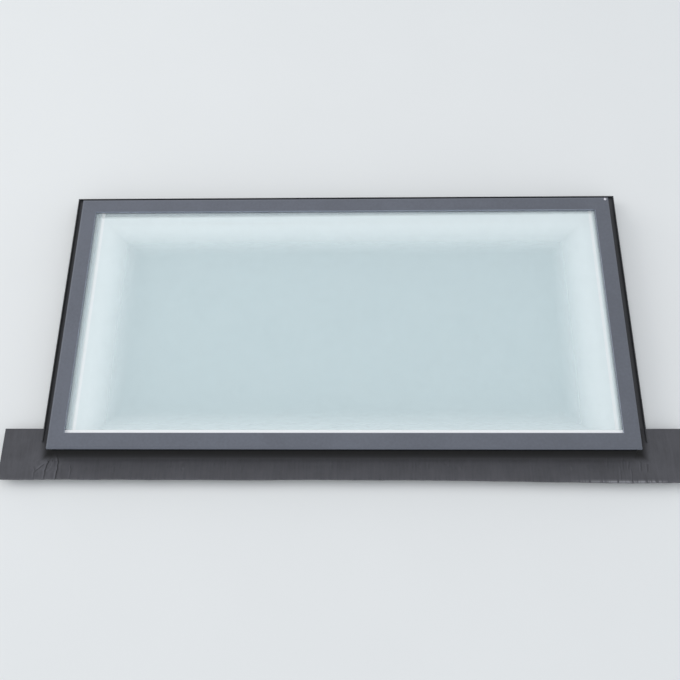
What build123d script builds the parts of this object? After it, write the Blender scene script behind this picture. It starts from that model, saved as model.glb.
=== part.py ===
from build123d import *
from math import hypot
import os

# Large fixed skylight for a pitched roof, lying in its own frame. All sizes are in millimetres.
# X runs along the sill, Y up the roof, Z out of the roof. Z = 0 is the underside of the kerb.
# In every section, u is the distance outward from the sight line, where the capping meets the glass.

# Outline seen from outside
cap_width = 4000
cap_length = 2000
cap_border = 110

# Timber kerb
kerb_height = 120
kerb_thickness = 72
lining_groove_width = 13
lining_groove_depth = 20
lining_groove_rise = 16

# Bedding seal and aluminium carrier
bedding_height = 3
bedding_inner = 4
bedding_outer = 44
carrier_wall = 2.2
seat_height = 22
port_height = 20
flange_height = 3
flange_outer = 68
flange_screw_line = 50

# Insulating glass unit
inner_pane_thickness = 11
cavity = 16
outer_pane_thickness = 8
glass_bite = 14
spacer_width = 7
edge_seal_width = 13
glass_edge_gap = 7
inner_gasket_height = 4
outer_gasket_height = 4
gasket_inner = 3
block_length = 100
block_spacing = 750
block_end_distance = 150

# Pressure plate and snap-on capping
plate_thickness = 3
clip_half_gap = 6.9
clip_wall = 1.5
clip_bead = 1.2
clip_lip_height = 6
cap_wall = 2
cap_head_room = 9
cap_leg_gap = 2
cap_bevel_width = 13
cap_bevel_drop = 7
cap_skirt_drop = 25
cap_drip_lip = 6
cap_rib_line = 70
corner_plate_leg = 90
corner_plate_inner = 42
corner_plate_outer = 68
corner_plate_thickness = 1.5

# Insulating collar and cant strip
collar_thickness = 20
collar_bottom = 66
collar_top_inner = 38
collar_top_gap = 14
collar_edge_radius = 2
collar_screw_room = 8
cant_height = 54
cant_reach = 42

# Flashings: soft apron and folded gutters
flashing_fold_inner = 78
apron_thickness = 2
apron_level = 60
apron_bend_radius = 20
apron_front_reach = 165
apron_side_reach = 350
apron_return = 172
apron_corner_radius = 12
gutter_thickness = 1
side_gutter_width = 95
head_gutter_width = 110
gutter_welt_height = 14
gutter_welt_return = 8
gutter_welt_lift = 2
gutter_bend_radius = 2
gutter_end_setback = 90
gutter_head_lap = 40

# Fixing brackets
bracket_thickness = 3
bracket_width = 50
bracket_leg = 60
bracket_foot = 50
bracket_hole = 6.5
bracket_hole_line = 32
bracket_screw_low = 22
bracket_screw_high = 44
bracket_screw_offset = 13
bracket_head_inner = 600
bracket_head_outer = 1700
bracket_side_offset = 600

# Screws: diameter, length under the head, width of the hexagon head across corners, head height
# A screw's core and its hole have six flats as well, which keeps the long rows of screws light
screw_side_count = 6
pressure_screw = (5.2, 40, 11, 4)
carrier_screw = (4.5, 38, 9, 3)
kerb_screw = (6, 150, 12, 4)
bracket_screw = (5, 38, 9.5, 3)
pressure_screw_spacing = 450
carrier_screw_spacing = 650
screw_end_distance = 90
kerb_screw_rise = (34, 86)

# Angles that slide into the carriers at their mitres, and the clearance of every loose fit
cleat_leg = 70
running = 0.3

# Reach of the mitre wedges inside and outside the sight line, which is more than any section has
mitre_inside = 100
mitre_outside = 300

# Levels of the stack, from the kerb up
carrier_base = kerb_height + bedding_height
seat = carrier_base + seat_height
glass_bottom = seat + inner_gasket_height
cavity_bottom = glass_bottom + inner_pane_thickness
cavity_top = cavity_bottom + cavity
glass_top = cavity_top + outer_pane_thickness
plate_bottom = glass_top + outer_gasket_height
plate_top = plate_bottom + plate_thickness
cap_underside = plate_top + cap_head_room
cap_top = cap_underside + cap_wall
port_top = seat + port_height

# Lines across the section, from the sight line out
half_x = cap_width / 2 - cap_border
half_y = cap_length / 2 - cap_border
spacer_outer = glass_bite - edge_seal_width
port_inner = glass_bite + glass_edge_gap
port_slot_inner = port_inner + carrier_wall
port_slot = pressure_screw[0] + 2 * running
port_slot_outer = port_slot_inner + port_slot
port_outer = port_slot_outer + carrier_wall
screw_line = port_slot_inner + port_slot / 2
lip_line = clip_half_gap + clip_wall
plate_outer = screw_line + lip_line
collar_inner = kerb_thickness
collar_outer = collar_inner + collar_thickness
collar_top = cap_underside - collar_top_gap
apron_line = collar_outer + apron_thickness
gutter_line = apron_line + gutter_thickness / 2
gutter_floor = apron_level + apron_thickness + gutter_thickness / 2

SIDES = ("head", "sill", "left", "right")
UP = Vector(0, 0, 1)
OUTWARD = {
    "head": Vector(0, 1, 0),
    "sill": Vector(0, -1, 0),
    "left": Vector(-1, 0, 0),
    "right": Vector(1, 0, 0),
}
CORNERS = [(sign_x, sign_y) for sign_x in (-1, 1) for sign_y in (-1, 1)]


def across(side):
    """Distance from the middle of the skylight to the side's sight line."""
    return half_y if side in ("head", "sill") else half_x


def along(side):
    """Half the length of the side's sight line."""
    return half_x if side in ("head", "sill") else half_y


def section_plane(side, station=0):
    """Plane across a side: local x runs outward from the sight line, local y is up."""
    run = OUTWARD[side].cross(UP)
    origin = OUTWARD[side] * across(side) + run * station
    return Plane(origin=origin, x_dir=OUTWARD[side], z_dir=run)


def outline(*points):
    """Section with straight sides between the points."""
    return make_face(Polyline(*points, close=True))


def block(u_inner, u_outer, z_low, z_high):
    """Rectangular section between two lines and two levels."""
    return outline((u_inner, z_low), (u_outer, z_low), (u_outer, z_high), (u_inner, z_high))


def folded(points, radius, thickness):
    """Section of a folded sheet round the centre line through the points."""
    return trace(FilletPolyline(*points, radius=radius), thickness)


def bar(section, side, start, end):
    """Straight length of a section between two stations of a side."""
    face = section_plane(side, start) * section
    return extrude(face, amount=end - start)


def butted(section, side, beyond):
    """Length of a section that runs past both corners by the given distance."""
    reach = along(side) + beyond
    return bar(section, side, -reach, reach)


def mitre_wedge(side):
    """Solid between the two mitre planes of a side."""
    inner_reach = along(side) - mitre_inside
    outer_reach = along(side) + mitre_outside
    plan = Plane(origin=OUTWARD[side] * across(side), x_dir=OUTWARD[side], z_dir=UP)
    face = outline(
        (-mitre_inside, -inner_reach),
        (-mitre_inside, inner_reach),
        (mitre_outside, outer_reach),
        (mitre_outside, -outer_reach),
    )
    return extrude(plan * face, amount=cap_top)


def mitred(section, side):
    """Length of a section cut at 45 degrees where it meets its neighbours."""
    return butted(section, side, mitre_outside) & mitre_wedge(side)


def ring(section):
    """One closed frame of a section, such as a gasket."""
    return sum((mitred(section, side) for side in SIDES[1:]), mitred(section, SIDES[0]))


def stations(side, spacing, end_distance):
    """Evenly spaced stations along a side, at most the spacing apart."""
    reach = along(side) - end_distance
    gaps = max(1, round(2 * reach / spacing))
    return [-reach + 2 * reach * i / gaps for i in range(gaps + 1)]


def prism(radius, low, high):
    """Upright hexagonal prism whose corners lie on a circle of the given radius."""
    face = RegularPolygon(radius, side_count=screw_side_count)
    return Pos(0, 0, low) * extrude(face, amount=high - low)


def screw(size):
    """Hexagon-head screw pointing down, with the underside of its head at the origin."""
    diameter, length, head_width, head_height = size
    return prism(head_width / 2, 0, head_height) + prism(diameter / 2, -length, 0)


def screw_hole(size):
    """Hole that clears a screw's core by the running clearance."""
    diameter, length = size[:2]
    return prism(diameter / 2 + running, -length - running, 0)


def down_at(side, u, z, station):
    """Location on a side that keeps a screw pointing down."""
    return Location(section_plane(side, station).from_local_coords(Vector(u, z, 0)))


def inward_at(side, u, z, station):
    """Location on a side that points a screw towards the opening."""
    plane = section_plane(side, station)
    origin = plane.from_local_coords(Vector(u, z, 0))
    return Plane(origin=origin, x_dir=UP, z_dir=OUTWARD[side]).location


def pressure_screw_places(side):
    """Screws through the pressure plate into the carrier's port."""
    places = stations(side, pressure_screw_spacing, screw_end_distance)
    return [down_at(side, screw_line, plate_top, station) for station in places]


def carrier_screw_places(side):
    """Screws through the carrier's flange and the bedding seal's outer edge into the kerb."""
    places = stations(side, carrier_screw_spacing, screw_end_distance)
    level = carrier_base + flange_height
    return [down_at(side, flange_screw_line, level, station) for station in places]


def kerb_screw_places(side):
    """Screws through the head and sill members into the ends of the side members."""
    if side not in ("head", "sill"):
        return []
    line = half_x + kerb_thickness / 2
    level = kerb_thickness - kerb_screw[3]
    return [inward_at(side, level, z, x) for x in (-line, line) for z in kerb_screw_rise]


def bracket_stations(side):
    """Stations of a side's brackets, in pairs about its middle."""
    if side in ("head", "sill"):
        steps = (bracket_head_inner, bracket_head_outer)
    else:
        steps = (bracket_side_offset,)
    return [sign * step for step in steps for sign in (-1, 1)]


def bracket_screw_places(side):
    """Two screws through each bracket's leg into the kerb, one low and one high."""
    line = kerb_thickness + bracket_thickness
    return [
        inward_at(side, line, rise, station + offset)
        for station in bracket_stations(side)
        for rise, offset in (
            (bracket_screw_low, -bracket_screw_offset),
            (bracket_screw_high, bracket_screw_offset),
        )
    ]


def lining_groove():
    """Groove round the opening that takes the edges of the lining boards."""
    top = lining_groove_rise + lining_groove_width
    return ring(block(0, lining_groove_depth, lining_groove_rise, top))


def kerb_screw_cut():
    """Clearance hole with the pocket that takes the screw's head."""
    head_width, head_height = kerb_screw[2:]
    return screw_hole(kerb_screw) + prism(head_width / 2 + running, 0, head_height)


def kerb_member(side):
    """Timber member with the lining groove and the holes for its screws."""
    beyond = kerb_thickness if side in ("head", "sill") else 0
    body = butted(block(0, kerb_thickness, 0, kerb_height), side, beyond) - lining_groove()
    cuts = [place * screw_hole(carrier_screw) for place in carrier_screw_places(side)]
    cuts += [place * screw_hole(bracket_screw) for place in bracket_screw_places(side)]
    for end in ("head", "sill"):
        cuts += [place * kerb_screw_cut() for place in kerb_screw_places(end)]
    return body - cuts


def carrier_section():
    """Glass seat, screw port and fixing flange of the carrier."""
    outer = outline(
        (0, carrier_base),
        (flange_outer, carrier_base),
        (flange_outer, carrier_base + flange_height),
        (port_outer, carrier_base + flange_height),
        (port_outer, port_top),
        (port_slot_outer, port_top),
        (port_slot_outer, seat + carrier_wall),
        (port_slot_inner, seat + carrier_wall),
        (port_slot_inner, port_top),
        (port_inner, port_top),
        (port_inner, seat),
        (0, seat),
    )
    low = carrier_base + carrier_wall
    seat_chamber = block(carrier_wall, port_inner, low, seat - carrier_wall)
    port_chamber = block(port_slot_inner, port_slot_outer, low, seat)
    return outer - seat_chamber - port_chamber


def carrier(side):
    """Mitred length of the carrier with the holes in its flange."""
    body = mitred(carrier_section(), side)
    return body - [place * screw_hole(carrier_screw) for place in carrier_screw_places(side)]


def corner_angle(corner, inner, outer, leg, low, high):
    """Flat angle round a corner of the frame, whose legs run the given length past its heel."""
    width = outer - inner
    arm = width + leg
    leg_x = Box(arm, width, high - low, align=Align.MAX)
    leg_y = Box(width, arm, high - low, align=Align.MAX)
    angle = Pos(half_x + outer, half_y + outer, high) * (leg_x + leg_y)
    sign_x, sign_y = corner
    if sign_x < 0:
        angle = mirror(angle, about=Plane.YZ)
    if sign_y < 0:
        angle = mirror(angle, about=Plane.XZ)
    return angle


def corner_cleat(corner):
    """Angle that slides into the seat chambers of two carriers at their mitre."""
    low = carrier_base + carrier_wall + running
    high = seat - carrier_wall - running
    return corner_angle(corner, carrier_wall + running, port_inner - running, cleat_leg, low, high)


def isolator(side):
    """Pair of polyamide strips between the carrier's port and the pressure plate."""
    inner = mitred(block(port_inner, port_slot_inner, port_top, plate_bottom), side)
    outer = mitred(block(port_slot_outer, port_outer, port_top, plate_bottom), side)
    return [inner, outer]


def pane(z_low, z_high):
    """Sheet of glass that reaches under the pressure plate on all four sides."""
    face = Rectangle(2 * (half_x + glass_bite), 2 * (half_y + glass_bite))
    return Pos(0, 0, z_low) * extrude(face, amount=z_high - z_low)


def glass_blocks(side, slack):
    """Blocks between the edge of the glass and the port wall, with the slack on both faces."""
    section = block(glass_bite + slack, port_inner - slack, seat, glass_top)
    places = stations(side, block_spacing, block_end_distance)
    return [bar(section, side, s - block_length / 2, s + block_length / 2) for s in places]


def plate_section():
    """Flat clamping bar with two beaded lips that hold the capping."""
    bar_face = block(gasket_inner, plate_outer, plate_bottom, plate_top)
    root = plate_top - plate_thickness / 2
    lip = outline(
        (clip_half_gap, root),
        (lip_line, root),
        (lip_line, plate_top + clip_lip_height - 2 * clip_bead),
        (lip_line + clip_bead, plate_top + clip_lip_height - clip_bead),
        (lip_line, plate_top + clip_lip_height),
        (clip_half_gap, plate_top + clip_lip_height),
    )
    centre = Pos(screw_line, 0)
    return bar_face + centre * lip + centre * mirror(lip, about=Plane.YZ)


def pressure_plate(side):
    """Mitred length of the clamping bar with the holes for its screws."""
    body = mitred(plate_section(), side)
    return body - [place * screw_hole(pressure_screw) for place in pressure_screw_places(side)]


def cap_section():
    """Capping with bevelled outer edge, drip lip, glazing leg, support rib and clip legs."""
    low = cap_top - cap_skirt_drop
    shell = outline(
        (0, glass_top + cap_leg_gap),
        (cap_wall, glass_top + cap_leg_gap),
        (cap_wall, cap_underside),
        (cap_border - cap_bevel_width, cap_underside),
        (cap_border - cap_wall, cap_underside - cap_bevel_drop),
        (cap_border - cap_wall, low + cap_wall),
        (cap_border - cap_drip_lip, low + cap_wall),
        (cap_border - cap_drip_lip, low),
        (cap_border, low),
        (cap_border, cap_top - cap_bevel_drop),
        (cap_border - cap_bevel_width, cap_top),
        (0, cap_top),
    )
    root = cap_top - cap_wall / 2
    rib = block(cap_rib_line, cap_rib_line + cap_wall, collar_top, root)
    face = lip_line + clip_bead + running
    hook_top = plate_top + clip_lip_height - 2 * clip_bead - running
    leg = outline(
        (face, hook_top),
        (face - clip_bead, hook_top - clip_bead),
        (face, hook_top - 2 * clip_bead),
        (face + clip_wall, hook_top - 2 * clip_bead),
        (face + clip_wall, root),
        (face, root),
    )
    centre = Pos(screw_line, 0)
    return shell + rib + centre * leg + centre * mirror(leg, about=Plane.YZ)


def corner_plate(corner):
    """Angle plate glued under two capping lengths across their mitre."""
    low = cap_underside - corner_plate_thickness
    return corner_angle(
        corner, corner_plate_inner, corner_plate_outer, corner_plate_leg, low, cap_underside
    )


def collar(side):
    """Rigid foam that wraps the kerb's outer face and fills the space under the capping."""
    floor = carrier_base + flange_height + collar_screw_room
    section = outline(
        (collar_top_inner, floor),
        (collar_inner, floor),
        (collar_inner, collar_bottom),
        (collar_outer, collar_bottom),
        (collar_outer, collar_top),
        (collar_top_inner, collar_top),
    )
    edge = section.vertices().sort_by_distance((collar_outer, collar_top))[0]
    return mitred(fillet(edge, collar_edge_radius), side)


def cant_strip():
    """Three-cornered strip that carries the sloping part of the apron."""
    section = outline(
        (collar_outer, apron_level),
        (collar_outer + cant_reach, apron_level),
        (collar_outer, apron_level + cant_height),
    )
    return butted(section, "sill", collar_outer)


def apron_line_points():
    """Centre line of the front sheet: fold over the collar, wall, slope and flat."""
    half = apron_thickness / 2
    slope = cant_height / cant_reach
    lift = (half + running) * hypot(cant_height, cant_reach) / cant_reach
    wall = collar_outer + half
    slope_top = apron_level + cant_height + lift - half * slope
    slope_foot = collar_outer + (cant_height + lift - half) / slope
    return [
        (flashing_fold_inner, collar_top + half),
        (wall, collar_top + half),
        (wall, slope_top),
        (slope_foot, apron_level + half),
        (slope_foot + apron_bend_radius, apron_level + half),
    ]


def apron():
    """Lead sheet dressed over the cant strip and out over the roof covering."""
    points = apron_line_points()
    radii = [apron_thickness, apron_bend_radius, apron_bend_radius]
    front = butted(folded(points, radii, apron_thickness), "sill", apron_line)
    back = collar_outer - apron_return
    top = collar_top - gutter_bend_radius
    cheek_face = outline(
        (back, apron_level),
        (points[3][0], apron_level),
        points[3],
        points[2],
        (points[2][0], top),
        (back, top),
    )
    near = half_x + collar_outer
    cheeks = [
        bar(cheek_face, "sill", near, near + apron_thickness),
        bar(cheek_face, "sill", -near - apron_thickness, -near),
    ]
    flat = block(back, cap_border + apron_front_reach, apron_level, apron_level + apron_thickness)
    flat = butted(flat, "sill", cap_border + apron_side_reach)
    # The front sheet brings its own strip of flat, which this one overlaps by half a bend
    hole = block(back, points[3][0] + apron_bend_radius / 2, 0, cap_top)
    flat -= butted(hole, "sill", collar_outer)
    front_corners = flat.edges().filter_by(Axis.Z).sort_by(Axis.Y)[:2]
    return fillet(front_corners, apron_corner_radius) + front + cheeks


def gutter_section(floor, width):
    """Centre line fold over the collar, upstand, floor and welted outer edge."""
    points = [
        (flashing_fold_inner, collar_top + gutter_thickness / 2),
        (gutter_line, collar_top + gutter_thickness / 2),
        (gutter_line, floor),
        (gutter_line + width, floor),
        (gutter_line + width, floor + gutter_welt_height),
        (gutter_line + width - gutter_welt_return, floor + gutter_welt_height + gutter_welt_lift),
    ]
    return folded(points, gutter_bend_radius, gutter_thickness)


def left_gutter():
    """Left gutter from beside the sill capping to under the head gutter."""
    section = gutter_section(gutter_floor, side_gutter_width)
    low = half_y + cap_border - gutter_end_setback
    body = bar(section, "left", -low, half_y + apron_line)
    fold_end = half_y + flashing_fold_inner - running
    fold = block(0, gutter_line + gutter_thickness, collar_top - gutter_bend_radius, cap_top)
    body -= bar(fold, "left", fold_end, half_y + apron_line)
    half = gutter_thickness / 2
    lap = block(apron_line, gutter_line + side_gutter_width, gutter_floor - half, gutter_floor + half)
    start = half_y + apron_line - gutter_bend_radius
    body += bar(lap, "left", start, half_y + apron_line + gutter_head_lap)
    return body


def head_gutter():
    """Gutter above the head, lapped over the upper ends of both side gutters."""
    floor = gutter_floor + gutter_thickness
    body = butted(gutter_section(floor, head_gutter_width), "head", apron_line + gutter_thickness)
    half = gutter_thickness / 2
    outer = gutter_line + head_gutter_width
    welt = [
        (outer, floor),
        (outer, floor + gutter_welt_height),
        (outer - gutter_welt_return, floor + gutter_welt_height + gutter_welt_lift),
    ]
    wing = folded([(apron_line, floor)] + welt, gutter_bend_radius, gutter_thickness)
    body += butted(wing, "head", gutter_line + side_gutter_width + half)
    shift = head_gutter_width - side_gutter_width
    end_points = [(u - shift, z) for u, z in [(apron_line + shift, floor)] + welt]
    end_section = folded(end_points, gutter_bend_radius, gutter_thickness)
    start = half_y + apron_line
    end = bar(end_section, "left", start, half_y + outer - gutter_welt_return)
    return body + end + mirror(end, about=Plane.YZ)


def bracket(side, station):
    """Galvanised angle screwed to the kerb, with a bolt hole in its foot."""
    inner = kerb_thickness
    section = outline(
        (inner, 0),
        (inner + bracket_foot, 0),
        (inner + bracket_foot, bracket_thickness),
        (inner + bracket_thickness, bracket_thickness),
        (inner + bracket_thickness, bracket_leg),
        (inner, bracket_leg),
    )
    heel = section.vertices().sort_by_distance((inner, 0))[0]
    section = fillet(heel, bracket_thickness)
    half = bracket_width / 2
    body = bar(section, side, station - half, station + half)
    hole = extrude(Circle(bracket_hole / 2), amount=bracket_thickness)
    return body - down_at(side, inner + bracket_hole_line, 0, station) * hole


def fixing_brackets():
    """All brackets with the holes for their screws."""
    cut = screw_hole(bracket_screw)
    bodies = []
    for side in SIDES:
        cuts = [place * cut for place in bracket_screw_places(side)]
        bodies += [bracket(side, station) - cuts for station in bracket_stations(side)]
    return bodies


def save(name, *solids):
    """Write the solids of one piece to its own file."""
    shape = solids[0] if len(solids) == 1 else Compound(children=list(solids))
    export_step(shape, f"parts/{name}.step")


def save_screws(name, size, places):
    """Write the screws of one kind on all four sides."""
    save(name, *[place * screw(size) for side in SIDES for place in places(side)])


os.makedirs("parts", exist_ok=True)
for side in SIDES:
    save(f"kerb_{side}", kerb_member(side))
    save(f"carrier_{side}", carrier(side))
    save(f"isolator_{side}", *isolator(side))
    save(f"pressure_plate_{side}", pressure_plate(side))
    save(f"cap_{side}", mitred(cap_section(), side))
    save(f"collar_{side}", collar(side))
save_screws("kerb_screws", kerb_screw, kerb_screw_places)
save_screws("carrier_screws", carrier_screw, carrier_screw_places)
save_screws("pressure_screws", pressure_screw, pressure_screw_places)
save_screws("bracket_screws", bracket_screw, bracket_screw_places)
save("fixing_brackets", *fixing_brackets())
save("corner_cleats", *[corner_cleat(corner) for corner in CORNERS])
save("cap_corner_plates", *[corner_plate(corner) for corner in CORNERS])
save("bedding_seal", ring(block(bedding_inner, bedding_outer, kerb_height, carrier_base)))
save("inner_gasket", ring(block(gasket_inner, glass_bite - running, seat, glass_bottom)))
save("outer_gasket", ring(block(gasket_inner, glass_bite, glass_top, plate_bottom)))
save("inner_pane", pane(glass_bottom, cavity_bottom))
save("outer_pane", pane(cavity_top, glass_top))
save("spacer_bar", ring(block(spacer_outer - spacer_width, spacer_outer, cavity_bottom, cavity_top)))
save("edge_seal", ring(block(spacer_outer, glass_bite, cavity_bottom, cavity_top)))
save("setting_blocks", *glass_blocks("sill", 0))
save("location_blocks", *[b for side in ("head", "left", "right") for b in glass_blocks(side, running)])
save("cant_strip", cant_strip())
save("apron", apron())
save("side_gutter_left", left_gutter())
save("side_gutter_right", mirror(left_gutter(), about=Plane.YZ))
save("head_gutter", head_gutter())
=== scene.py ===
import random
from math import cos, pi, radians, sin, tan

import bmesh
import bpy
from mathutils import Matrix, Vector, noise


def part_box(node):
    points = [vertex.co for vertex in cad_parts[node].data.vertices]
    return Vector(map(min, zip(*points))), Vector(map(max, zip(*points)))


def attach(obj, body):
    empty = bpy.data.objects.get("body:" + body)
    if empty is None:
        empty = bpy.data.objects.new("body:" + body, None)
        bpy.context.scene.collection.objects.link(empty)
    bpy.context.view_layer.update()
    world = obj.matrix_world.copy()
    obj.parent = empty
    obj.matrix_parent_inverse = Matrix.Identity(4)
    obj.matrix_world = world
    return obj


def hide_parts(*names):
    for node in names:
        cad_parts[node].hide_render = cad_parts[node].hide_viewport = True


bl_info = {
    "name": "Roof skylight",
    "version": (1, 0, 0),
    "blender": (4, 5, 0),
    "location": "3D View > Sidebar > Skylight",
    "description": "Finishes, dressed lead apron and stage of a large fixed roof skylight",
    "category": "Object",
}

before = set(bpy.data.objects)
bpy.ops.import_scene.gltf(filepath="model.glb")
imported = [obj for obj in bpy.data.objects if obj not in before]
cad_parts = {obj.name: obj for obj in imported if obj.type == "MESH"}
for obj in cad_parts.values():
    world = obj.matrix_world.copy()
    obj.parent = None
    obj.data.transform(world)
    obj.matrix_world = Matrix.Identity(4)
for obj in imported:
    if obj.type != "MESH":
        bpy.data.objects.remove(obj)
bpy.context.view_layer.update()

MM = 0.001
SIDES = ("head", "sill", "left", "right")

# Lines of the skylight read from its solids, in metres from its middle
SIGHT_X = -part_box("kerb_left")[1].x
SIGHT_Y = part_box("kerb_head")[0].y
COLLAR_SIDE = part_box("collar_sill")[1].x
COLLAR_FRONT = -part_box("collar_sill")[0].y
CAP_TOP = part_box("cap_head")[1].z
CAP_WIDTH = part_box("cap_head")[1].y - SIGHT_Y
APRON_LOW, APRON_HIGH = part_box("apron")
CANT_LOW, CANT_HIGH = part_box("cant_strip")
GUTTER_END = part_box("side_gutter_left")[0].y
GUTTER_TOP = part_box("side_gutter_left")[1].z

# Sockets of a Mix node that mixes colours
MIX_A = 6
MIX_B = 7
MIX_RESULT = 2

# Scale that draws rain marks out down the slope to ten times their width
DOWN_THE_SLOPE = (1.0, 0.1, 0.1)

# The film of painted light on the outer pane reaches this much farther in with each metre towards the left
FILM_LEAN = -6 * MM

# A crease of the lead this high has all of its painted shade in the valley and three quarters of its painted
# highlight on the crest
FULL_CREASE_LIGHT = 6 * MM


def linear(hex_colour):
    """Linear red, green and blue of an sRGB hex colour."""
    parts = [int(hex_colour[i : i + 2], 16) / 255 for i in (1, 3, 5)]
    return [c / 12.92 if c <= 0.04045 else ((c + 0.055) / 1.055) ** 2.4 for c in parts]


def shaded(colour, factor=1.0):
    """Colour value for a socket, darker or lighter by a factor."""
    return [min(1.0, part * factor) for part in colour[:3]] + [1]


def per_metre(size_mm):
    """Texture scale at which one patch or band is the given size in millimetres."""
    return 1000 / size_mm


def drawn_out(width_mm, length_mm, axis):
    """Texture scale of grain or lines that are longer along one axis than they are wide."""
    scale = [per_metre(width_mm)] * 3
    scale[axis] = per_metre(length_mm)
    return scale


def clamp(value):
    """Value kept between 0 and 1."""
    return max(0.0, min(1.0, value))


def colour_setting(name, hex_colour, description):
    """Colour that a user may change, stored linear."""
    return bpy.props.FloatVectorProperty(
        name=name,
        description=description,
        default=linear(hex_colour),
        subtype="COLOR",
        min=0,
        max=1,
    )


def length_setting(name, default, least, description):
    """Length in metres that a user may change, with the least that it may be."""
    return bpy.props.FloatProperty(
        name=name,
        description=description,
        default=default,
        min=least,
        unit="LENGTH",
        subtype="DISTANCE",
        precision=4,
    )


class SkylightColours(bpy.types.PropertyGroup):
    """Colours of the skylight's finishes and of the floor"""

    coating: colour_setting("Capping", "#61656F", "Satin powder coat on the capping")
    glass_tint: colour_setting("Glass tint", "#F4F9FA", "What one pane leaves of white light")
    # Colour of the film on the outer pane: a haze of dust, and painted light towards the pane's edges
    glass_dust_and_light: colour_setting("Glass dust", "#ECF5F6", "Dust film on the outer pane")
    lead: colour_setting("Lead", "#515156", "Patinated lead of the apron")
    # Painted shade: the gutters' coat is darker than the capping's, partly to stand in for the deep shade
    # beside the capping
    gutter: colour_setting("Gutters", "#343539", "Coil coat on the folded gutters")
    spruce: colour_setting("Spruce", "#C9A877", "Planed timber of the kerb")
    primer: colour_setting("Primer", "#D2D5D6", "White primer on the inner face of the kerb")
    foam: colour_setting("Collar foam", "#959EA1", "Extruded foam of the collar")
    spacer: colour_setting("Spacer", "#A3A9AE", "Foam spacer between the panes")
    floor: colour_setting("Floor", "#E8EAEA", "Plain floor that the skylight lies on")


class SkylightSizes(bpy.types.PropertyGroup):
    """Sizes of the lead apron and of the bird dropping"""

    sheet: length_setting("Lead thickness", 2 * MM, 1 * MM, "Thickness of the lead sheet")
    sheet_fold: length_setting("Lead fold", 14 * MM, 5 * MM, "Width of the fold on top of the collar")
    sheet_bend: length_setting("Lead bend", 20 * MM, 4 * MM, "Radius of the bends of the apron's slope")
    sheet_wave: length_setting("Lead waviness", 2 * MM, 0, "How far the sheet stands off what it lies on")
    edge_over: length_setting("Edge overrun", 13 * MM, 0, "How far past its line the front edge was cut")
    edge_wave: length_setting("Edge waviness", 4 * MM, 0, "How far the cut front edge wanders")
    dropping: length_setting("Bird dropping", 20 * MM, 5 * MM, "Width of the dried dropping on the capping")


class SkylightStage(bpy.types.PropertyGroup):
    """Camera, light and floor of the scene"""

    eye: bpy.props.FloatVectorProperty(
        name="Camera place",
        description="Where the photograph was taken from, seen from the skylight",
        default=(0.1438, -3.0534, 6.1566),
        unit="LENGTH",
        subtype="TRANSLATION",
        precision=4,
    )
    turn: bpy.props.FloatVectorProperty(
        name="Camera turn",
        description="How the camera is turned from looking straight down",
        default=(radians(25.642), radians(1.324), radians(0.503)),
        unit="ROTATION",
        subtype="EULER",
    )
    lens: bpy.props.FloatProperty(
        name="Focal length",
        description="Focal length in millimetres on a 36 mm wide sensor",
        default=49.49,
        min=10,
    )
    sky: bpy.props.FloatProperty(
        name="Sky level",
        description="Strength of the even light from all round",
        default=0.92,
        min=0,
    )
    backdrop: bpy.props.FloatProperty(
        name="Backdrop level",
        description="Brightness of the backdrop that the camera, metal and glass see",
        default=0.85,
        min=0,
    )
    lamp_power: bpy.props.FloatProperty(
        name="Lamp power",
        description="Power of the large soft lamp above the head on the left",
        default=95,
        min=0,
        unit="POWER",
    )
    lamp_place: bpy.props.FloatVectorProperty(
        name="Lamp place",
        description="Where the soft lamp hangs",
        default=(-12, 3.5, 7.5),
        unit="LENGTH",
        subtype="TRANSLATION",
    )
    lamp_width: length_setting("Lamp width", 8, 0.1, "Side of the square soft lamp")
    lamp_spread: bpy.props.FloatProperty(
        name="Lamp spread",
        description="Angle over which the soft lamp throws its light",
        default=radians(80),
        min=radians(10),
        max=radians(180),
        unit="ROTATION",
    )
    floor_width: length_setting("Floor width", 60, 5, "Side of the square floor")


def fill(tree, node, inputs):
    """Give a node's inputs their values or their links."""
    for key, value in inputs.items():
        if isinstance(value, bpy.types.NodeSocket):
            tree.links.new(value, node.inputs[key])
        else:
            node.inputs[key].default_value = value


def add(tree, kind, inputs, **settings):
    """Add a shader node with its settings, its input values and its links, and return its outputs."""
    node = tree.nodes.new("ShaderNode" + kind)
    for name, value in settings.items():
        setattr(node, name, value)
    fill(tree, node, inputs)
    return node.outputs


def start(name, constants):
    """New material with its Principled shader, and the place on the skylight in metres."""
    made = bpy.data.materials.new(name)
    made.use_nodes = True
    tree = made.node_tree
    shader = tree.nodes["Principled BSDF"]
    fill(tree, shader, constants)
    spot = add(tree, "TexCoord", {})["Object"]
    return made, tree, shader, spot


def beyond_sight_line(tree, spot, wider=0.0):
    """Distance outside the sight line in metres, which is negative over the open glass."""
    size = add(tree, "VectorMath", {0: spot}, operation="ABSOLUTE")[0]
    line = (SIGHT_X + wider, SIGHT_Y, 0)
    away = add(tree, "VectorMath", {0: size, 1: line}, operation="SUBTRACT")[0]
    part = add(tree, "SeparateXYZ", {"Vector": away})
    return add(tree, "Math", {0: part["X"], 1: part["Y"]}, operation="MAXIMUM")[0]


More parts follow.
